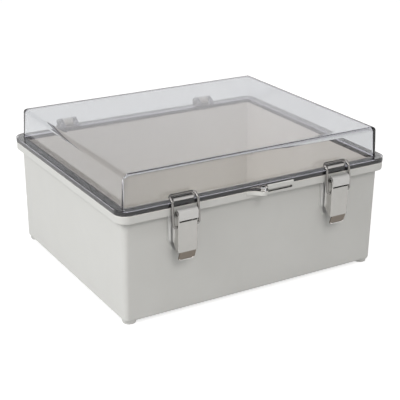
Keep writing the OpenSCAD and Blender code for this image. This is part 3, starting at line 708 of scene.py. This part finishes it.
# a straight row of like pieces, from one of them
row_layout, given = new_layout("row_layout", {"Piece": "Object", "Start": "Vector", "Step": "Vector",
                                              "Count": "Int"})
row = add_node(row_layout, "GeometryNodeMeshLine", {"Count": given["Count"], "Start Location": given["Start"],
                                                    "Offset": given["Step"]})
copies_at(row_layout, given, row.outputs["Mesh"])

drawn_steel = metal_finish("drawn_stainless", {"Along": 200.0}, dark=(0.17, 0.163, 0.155),
                           light=(0.25, 0.242, 0.234), smooth=0.10, rough=0.20)
for sign, word in sides:
    rivets = put(word + "_rivets", bpy.data.meshes.new(word + "_rivets"))
    lay_out(rivets, row_layout, {
        "Piece": rivet, "Start": (sign * latch_x / metre, 0, (pivot_z - rivet_drop) / metre),
        "Step": (0, 0, -rivet_pitch / metre), "Count": 2, "Finish": drawn_steel})
    faired(settled(rivets))
    fitted(rivets, drawn_steel, "stainless_steel", "base", word + "_rivets")
bpy.data.objects.remove(rivet)

# Pivot pins: drawn stainless, pressed through the bracket's ears. Each is headed at both ends outside the
# lever, which turns on it.
pivot_r, lever_w, head_gap = 1.5, 20.0, 0.15
pivot_head_r, pivot_head_t, pivot_core, head_root_r, head_crown_r = 2.4, 0.8, 0.2, 0.15, 0.6
head_in = lever_w / 2 + head_gap
head_out = head_in + pivot_head_t
pin_half = [(pivot_r, head_in, 0), (pivot_head_r, head_in, head_root_r),
            (pivot_head_r, head_out, head_crown_r), (pivot_core, head_out, 0)]
pin_points = [(r, -h, ease) for r, h, ease in reversed(pin_half)] + pin_half
pin = made("pivot_pin", turned(eased(pin_points, False), side, (0, pivot_y, pivot_z), steps=24))
faired(pin)
pair(pin, "pivot_pin", drawn_steel, "stainless_steel", "base", "*_pivot_pin")

# Levers: stainless channels folded from sheet, which turn on the pivot pins and take the bail's hooks in
# holes in their sides. At the foot a finger tongue is bent in and stiffened by a rolled lip. The tongue
# carries a painted dark reflection and the lip a painted highlight.
lever_len, lever_back, lever_face, lever_top_drop, panel_drop = 37.0, 7.9, 3.2, 4.0, 7.8
eye_r, fold_r, fold_in_r, neck_turn_r, shoulder_r, heel_r = 2.6, 1.3, 0.35, 1.0, 1.5, 2.0
bail_drop, wire_r, run_gap = 13.0, 1.25, 0.05
lever_front, lever_rear = pivot_y - lever_face, pivot_y + lever_back
half_lever, inner = lever_w / 2, lever_w / 2 - sheet_t
neck = rim_bottom - pivot_z
channel = eased([
    (-half_lever, lever_rear, 0), (-half_lever, lever_front, fold_r), (half_lever, lever_front, fold_r),
    (half_lever, lever_rear, 0), (inner, lever_rear, 0), (inner, lever_front + sheet_t, fold_in_r),
    (-inner, lever_front + sheet_t, fold_in_r), (-inner, lever_rear, 0)], True)
lever = made("lever", plate(channel, plan, pivot_z - lever_len, pivot_z + eye_r))
side_points = [(out, up, 0) for out, up in arc((0, 0), eye_r, 0, 180)] + [
    (-eye_r, neck, neck_turn_r), (-lever_back, neck - (lever_back - eye_r), shoulder_r),
    (-lever_back, lever_back - lever_len, heel_r), (0, -lever_len, heel_r),
    (lever_face + cut_past, -lever_len, 0), (lever_face + cut_past, -lever_top_drop - cut_past, 0),
    (lever_face, -lever_top_drop, 0)]
worked(lever, side_plate(latch_outline(eased(side_points, True)), 0, lever_w + 2 * cut_past), "INTERSECT")
window = oblong(-inner, pivot_z - panel_drop, inner, pivot_z + 2 * eye_r)
worked(lever, plate(window, front, lever_front - cut_past, lever_front + 2 * sheet_t), "DIFFERENCE")

tongue_w, tongue_len, tongue_bend, tongue_r = 17.0, 10.0, math.radians(20), 3.0
tongue_bend_r, tongue_lap, tongue_edge_r, tongue_spare, tongue_reach = 3.0, 1.5, 0.35, 0.3, 8.0
tip = Vector((lever_face, -lever_len)) + tongue_len * Vector((-math.sin(tongue_bend), -math.cos(tongue_bend)))
inward = sheet_t * Vector((-math.cos(tongue_bend), math.sin(tongue_bend)))
tongue_points = eased([
    (lever_face, tongue_lap - lever_len, 0), (lever_face, -lever_len, tongue_bend_r), (*tip, tongue_edge_r),
    (tip.x + inward.x, tip.y + inward.y, tongue_edge_r),
    (lever_face - sheet_t, sheet_t * math.tan(tongue_bend / 2) - lever_len, tongue_bend_r - sheet_t),
    (lever_face - sheet_t, tongue_lap - lever_len, 0)], True)
tongue = made("tongue", side_plate(latch_outline(tongue_points), 0, tongue_w))
half_tongue = tongue_w / 2
tongue_low, tongue_high = pivot_z + tip.y - tongue_spare, pivot_z - lever_len + 2 * tongue_lap
tongue_front = eased([(-half_tongue, tongue_low, tongue_r), (half_tongue, tongue_low, tongue_r),
                      (half_tongue, tongue_high, 0), (-half_tongue, tongue_high, 0)], True, steps=6)
worked(tongue, plate(tongue_front, front, pivot_y - tongue_reach, pivot_y + tongue_reach), "INTERSECT")

# a wire bent through corner points
wire_layout, given = new_layout("wire_layout", {"Wire radius": "Float", "Bend radius": "Float",
                                                "Bend steps": "Int"})
bent = add_node(wire_layout, "GeometryNodeFilletCurve", {
    "Curve": given["Geometry"], "Count": given["Bend steps"], "Radius": given["Bend radius"]}, mode="POLY")
section = add_node(wire_layout, "GeometryNodeCurvePrimitiveCircle", {"Resolution": 20,
                                                                     "Radius": given["Wire radius"]})
swept = add_node(wire_layout, "GeometryNodeCurveToMesh", {
    "Curve": bent.outputs["Curve"], "Profile Curve": section.outputs["Curve"], "Fill Caps": True})
end_layout(wire_layout, given, swept.outputs["Mesh"])


def bent_wire(name, points, radius, bend, finish):
    """A round wire through corner points, with its bends rounded."""
    route = bpy.data.curves.new("route", "CURVE")
    route.dimensions = "3D"
    spline = route.splines.new("POLY")
    spline.points.add(len(points) - 1)
    for point, place in zip(spline.points, points):
        point.co = (*(Vector(place) / metre), 1)
    guide = put("route", route)
    lay_out(guide, wire_layout, {"Wire radius": radius / metre, "Bend radius": bend / metre, "Bend steps": 8,
                                 "Finish": finish})
    mesh = plain_mesh(guide)
    bpy.data.objects.remove(guide)
    mesh.name = name
    return put(name, mesh)


def mirrored(half):
    """A path over the middle of a latch, from its right half."""
    return half + [(-x, y, z) for x, y, z in reversed(half)]


def on_tongue(x, along, deep=0.0):
    """A point of the tongue's outside, so far down from its bend and so deep in its sheet."""
    out = lever_face - along * math.sin(tongue_bend) - deep * math.cos(tongue_bend)
    up = -lever_len - along * math.cos(tongue_bend) + deep * math.sin(tongue_bend)
    return x, *latch_side(out, up)


roll_r, roll_rise, roll_margin = 0.45, 4.5, 0.1
roll_x, roll_low = half_tongue - roll_r - roll_margin, tongue_len - roll_r - roll_margin
roll_path = mirrored([on_tongue(roll_x, tongue_len - roll_rise, 2 * roll_r), on_tongue(roll_x, roll_low)])
lever_steel = metal_finish("lever_stainless", {}, dark=(0.34, 0.335, 0.32), light=(0.41, 0.40, 0.385),
                           smooth=0.12, rough=0.24)
combined(tongue, bent_wire("tongue_lip", roll_path, roll_r, tongue_r - roll_r, lever_steel), "UNION")
combined(lever, tongue, "UNION")
bore_end = half_lever + cut_past
bores = [turned([(r + run_gap, -bore_end), (r + run_gap, bore_end)], side, (0, pivot_y, z), steps=24)
         for r, z in ((pivot_r, pivot_z), (wire_r, pivot_z - bail_drop))]
worked(lever, gathered(bores), "DIFFERENCE")
faired(lever)

# painted light on the levers: a sheen on their sides, a dark reflection on the tongue, a highlight on its lip
painted_side_sheen, painted_dark_reflection, painted_lip_highlight = (0.62, 0.61, 0.595), (0.15, 0.128, 0.108), (0.60, 0.58, 0.56)
side_skin, reflection_above, reflection_below, lip_proud = 0.1, 0.3, 0.5, 0.1
tree = lever_steel.node_tree
shader = tree.nodes["Principled BSDF"]
steel = shader.inputs["Base Color"].links[0].from_socket
place = on_piece(tree)
spot = axes(tree, place)
aside = figured(tree, "SUBTRACT", figured(tree, "ABSOLUTE", spot["X"]), latch_x / metre)
from_middle = figured(tree, "ABSOLUTE", aside)
painted_sheen_mask = figured(tree, "GREATER_THAN", from_middle, (half_lever - side_skin) / metre)
# painted sheen: the lever's sides are made brighter than its front
steel = two_shades(tree, painted_sheen_mask, steel, painted_side_sheen)
bend_z = pivot_z - lever_len
# painted dark reflection: the tongue below its bend is darkened as if it mirrored the shaded floor
dark_reflection_mask = ranged(tree, spot["Z"], low=0.0, high=1.0, start=(bend_z + reflection_above) / metre,
                 end=(bend_z - reflection_below) / metre)
steel = two_shades(tree, dark_reflection_mask, steel, painted_dark_reflection)
outwards = (0, -math.cos(tongue_bend), -math.sin(tongue_bend))
from_bend = figured_way(tree, "SUBTRACT", place, Vector(on_tongue(0, 0)) / metre)
proud = figured_way(tree, "DOT_PRODUCT", from_bend, outwards)
# painted highlight: the rolled lip that stands proud of the tongue is made brighter
on_lip = figured(tree, "GREATER_THAN", proud, lip_proud / metre)
feed(tree, shader, {"Base Color": two_shades(tree, on_lip, steel, painted_lip_highlight)})
pair(lever, "lever", lever_steel, "stainless_steel", "*_lever", "*_lever")

# Hoods: stainless plates rolled over the pivots, welded to the front edges of the levers' sides. A slit is
# left under each lip.
hood_roll, hood_h, hood_drop, hood_back, hood_edge = 4.8, 3.9, 6.0, 1.8, 0.3
lip_out_r, back_out_r, rim_in_r = 0.4, 0.3, 0.2
hood_front, hood_under = lever_face + sheet_t, hood_h - sheet_t
hood_points = eased([
    (hood_front, -hood_drop, lip_out_r), (hood_front, hood_h, hood_roll), (-hood_back, hood_h, back_out_r),
    (-hood_back, hood_under, rim_in_r), (lever_face, hood_under, hood_roll - sheet_t),
    (lever_face, -hood_drop, rim_in_r)], True, steps=8)
hood = made("hood", side_plate(latch_outline(hood_points), 0, lever_w, hood_edge))
faired(hood)
rolled_steel = metal_finish("rolled_stainless", {"Across": 200.0, "Along": 200.0}, dark=(0.48, 0.475, 0.465),
                            light=(0.555, 0.55, 0.54), smooth=0.62, rough=0.76)
pair(hood, "hood", rolled_steel, "stainless_steel", "*_lever", "*_hood")

# Bails: one length of drawn stainless wire each, hooked into the lever's sides, bent over the lid's flange
# and laid across the keeper.
flange_top, keeper_h = 116.1, 3.2
bail_w, hook_reach, knee_gap, bar_in, bar_gap = 26.5, 0.8, 0.6, 4.5, 0.35
wire_bend_r = 1.6 + wire_r
bail_x, hook_x, bail_z = bail_w / 2, inner - hook_reach, pivot_z - bail_drop
knee_y, knee_z = -half_d - knee_gap - wire_r, flange_top + knee_gap + wire_r / 2
bar_y, bar_z = -half_d + bar_in, flange_top + keeper_h + bar_gap + wire_r
bail_path = mirrored([(hook_x, pivot_y, bail_z), (bail_x, pivot_y, bail_z), (bail_x, knee_y, knee_z),
                      (bail_x, bar_y, bar_z)])
for sign, word in sides:
    route = [(x + sign * latch_x, y, z) for x, y, z in bail_path]
    bail = bent_wire(word + "_bail", route, wire_r, wire_bend_r, drawn_steel)
    faired(bail, sharp=50)
    fitted(bail, drawn_steel, "stainless_steel", word + "_bail", word + "_bail")

# Lid: one clear moulding, a drafted dome on a flange with a channel under it for the gasket, hinge ears
# behind and a tab over the padlock lug in front. It is polished, and faintly violet where it is seen edge on.
lid_bottom, lid_top, roof_z, lid_wall = 111.0, 146.27, 114.6, 3.0
dome_inset, dome_draft, dome_r, dome_corner_r = 7.6, 1.7, 4.5, 2.1
skirt_t, flange_r, dome_foot_r, skirt_r, channel_r, dome_rim_r, dome_lap = 2.0, 0.12, 0.7, 0.3, 0.25, 0.4, 3.0


def dome_at(z):
    """How far in the dome's outside stands at height z."""
    return dome_inset + dome_draft * (z - lid_bottom) / (lid_top - lid_bottom)


lid_profile = eased([
    (dome_at(lid_top) + dome_r + dome_lap, lid_top, 0),
    (dome_at(lid_top), lid_top, dome_r),
    (dome_at(flange_top), flange_top, dome_foot_r),
    (0, flange_top, flange_r),
    (0, lid_bottom, skirt_r),
    (skirt_t, lid_bottom, skirt_r),
    (skirt_t, roof_z, channel_r),
    (dome_at(roof_z), roof_z, channel_r),
    (dome_inset, lid_bottom, skirt_r),
    (dome_inset + lid_wall, lid_bottom, dome_rim_r),
    (dome_at(lid_top) + lid_wall, lid_top - lid_wall, dome_r - lid_wall / 2),
    (dome_at(lid_top) + lid_wall + dome_r, lid_top - lid_wall, 0),
], False, steps=5)
lid = made("lid", skinned([case_ring(inset, z, dome_corner_r) for inset, z in lid_profile], False))

ear_t, ear_spacing, lid_ear_edge, hinge_pin_r, pin_bore_half = 5.0, 16.0, 0.4, 2.0, 40.0
ear_low, ear_root, web_z, web_lap = hinge_z - knuckle_r, half_d - skirt_t / 2, flange_top - 1.1, 1.0
tab_t, tab_lap, tab_lift, tab_edge = 3.0, 0.6, 0.02, 0.3
lid_ear = [(ear_root, ear_low)] + arc((hinge_y, hinge_z), knuckle_r, -90, 90)
lid_ear += [(half_d - dome_inset + web_lap, web_z), (ear_root, web_z)]
ears = [side_plate(lid_ear, s * hinge_x + e * ear_spacing / 2, ear_t, lid_ear_edge) for s, e in corners]
worked(lid, gathered(ears), "UNION")
tab_outline = lug_outline(-half_d + tab_lap)
worked(lid, plate(tab_outline, plan, lid_bottom + tab_lift, lid_bottom + tab_t, tab_edge), "UNION")
keeper_w, keeper_d, keeper_t, keeper_front = 21.0, 5.8, 1.0, -half_d + 0.6
keeper_foot = flange_top - 1.2
legs = [oblong(y, keeper_foot, y + keeper_t, flange_top + cut_past)
        for y in (keeper_front, keeper_front + keeper_d - keeper_t)]
cuts = [side_plate(leg, s * latch_x, keeper_w) for s in (-1, 1) for leg in legs]
pin_r = hinge_pin_r + run_gap
cuts += [turned([(pin_r, -pin_bore_half), (pin_r, pin_bore_half)], side, (s * hinge_x, hinge_y, hinge_z))
         for s in (-1, 1)]
cuts += [turned([(lug_hole_r, lid_bottom - cut_past), (lug_hole_r, lid_bottom + tab_t + cut_past / 2)], plan,
                (lug_x, lug_y, 0))]
worked(lid, gathered(cuts), "DIFFERENCE")
faired(lid)

clear_plastic, tree, shader = new_finish("clear_plastic")
worn = placed_group(tree, wear_marks, {"Smears": 14.0, "Along": 2600.0, "Across": 2600.0})
feed(tree, shader, {"Base Color": (0.865, 0.89, 0.865, 1), "Transmission Weight": 1, "IOR": 1.5,
                    "Roughness": ranged(tree, worn["Smear"], low=0.0, high=0.06),
                    "Normal": bumped(tree, worn["Smear"], strength=0.1, depth=0.0004)})
tint = add_node(tree, "ShaderNodeVolumeAbsorption", {"Color": (0.58, 0.54, 0.66, 1), "Density": 100.0})
let_light = add_node(tree, "ShaderNodeBsdfTransparent", {"Color": (1.0, 0.95, 0.88, 1)})
rays = add_node(tree, "ShaderNodeLightPath")
clear_mix = add_node(tree, "ShaderNodeMixShader", {
    0: rays.outputs["Is Shadow Ray"], 1: shader.outputs["BSDF"], 2: let_light.outputs["BSDF"]})
feed(tree, tree.nodes["Material Output"], {"Surface": clear_mix.outputs["Shader"],
                                           "Volume": tint.outputs["Volume"]})
fitted(lid, clear_plastic, "clear_plastic", "lid", "lid", "padlock_tab")

# Gasket: a soft black rubber ring, moulded in one piece and pressed into the flange's channel. The base's
# bead seals against the groove in its underside.
gasket_lap, gasket_gap, gasket_z, gasket_foot = 0.04, 0.03, 111.65, 111.1
gasket_r, gasket_top_r, groove_top, groove_foot = 0.2, 0.1, 0.2, 0.4
gasket_out, gasket_in, gasket_top = skirt_t - gasket_lap, dome_inset - 0.1, roof_z - gasket_gap
gasket_profile = eased([
    (gasket_out, gasket_foot, gasket_r), (gasket_out, gasket_top, gasket_top_r),
    (gasket_in, gasket_top, gasket_top_r), (gasket_in, gasket_foot, gasket_r),
    (bead_in + groove_foot, gasket_foot, gasket_r), (bead_in + groove_top, gasket_z, gasket_r),
    (bead_out - groove_top, gasket_z, gasket_r), (bead_out - groove_foot, gasket_foot, gasket_r)], True)
gasket = made("gasket", skinned([case_ring(inset, z) for inset, z in gasket_profile], True))
faired(gasket)
black_rubber, tree, shader = new_finish("black_rubber")
skin = placed_group(tree, mould_skin, {"Grain": 900.0, "Flow": 60.0})
rubber = two_shades(tree, skin["Shade"], (0.008, 0.008, 0.009), (0.020, 0.020, 0.021))
feed(tree, shader, {"Base Color": rubber, "Specular IOR Level": 0.1,
                    "Roughness": ranged(tree, skin["Shade"], low=0.5, high=0.72),
                    "Normal": bumped(tree, skin["Height"], strength=0.3, depth=0.00008)})
fitted(gasket, black_rubber, "black_rubber", "lid", "gasket")

# Keepers: strikes folded from stainless sheet, with their legs moulded into the lid's flange. The bails lie
# across them and pull on them.
keeper_r, keeper_in_r, keeper_edge = 1.1, 0.3, 0.2
keeper_top, keeper_back = flange_top + keeper_h, keeper_front + keeper_d
keeper_under = keeper_top - keeper_t
front_in, back_in = keeper_front + keeper_t, keeper_back - keeper_t
keeper_outline = eased([
    (keeper_front, keeper_foot, 0), (keeper_front, keeper_top, keeper_r), (keeper_back, keeper_top, keeper_r),
    (keeper_back, keeper_foot, 0), (back_in, keeper_foot, 0), (back_in, keeper_under, keeper_in_r),
    (front_in, keeper_under, keeper_in_r), (front_in, keeper_foot, 0)], True)
keeper = made("keeper", side_plate(keeper_outline, 0, keeper_w, keeper_edge))
faired(keeper)
pressed_steel = metal_finish("pressed_stainless", {}, dark=(0.33, 0.32, 0.31), light=(0.42, 0.41, 0.40),
                             smooth=0.12, rough=0.24)
pair(keeper, "keeper", pressed_steel, "stainless_steel", "lid", "*_keeper")

# Hinge pins: plain drawn stainless rods with eased ends, pressed into the base's arms. The lid's ears turn
# on them.
pin_core, pin_edge_r, pin_spare = 0.3, 0.4, 0.5
pin_end = (ear_spacing + ear_t) / 2 + pin_spare
rod_profile = eased([(pin_core, -pin_end, 0), (hinge_pin_r, -pin_end, pin_edge_r),
                     (hinge_pin_r, pin_end, pin_edge_r), (pin_core, pin_end, 0)], False)
rod = made("hinge_pin", turned(rod_profile, side, (0, hinge_y, hinge_z)))
faired(rod)
pair(rod, "hinge_pin", drawn_steel, "stainless_steel", "base", "*_hinge_pin")
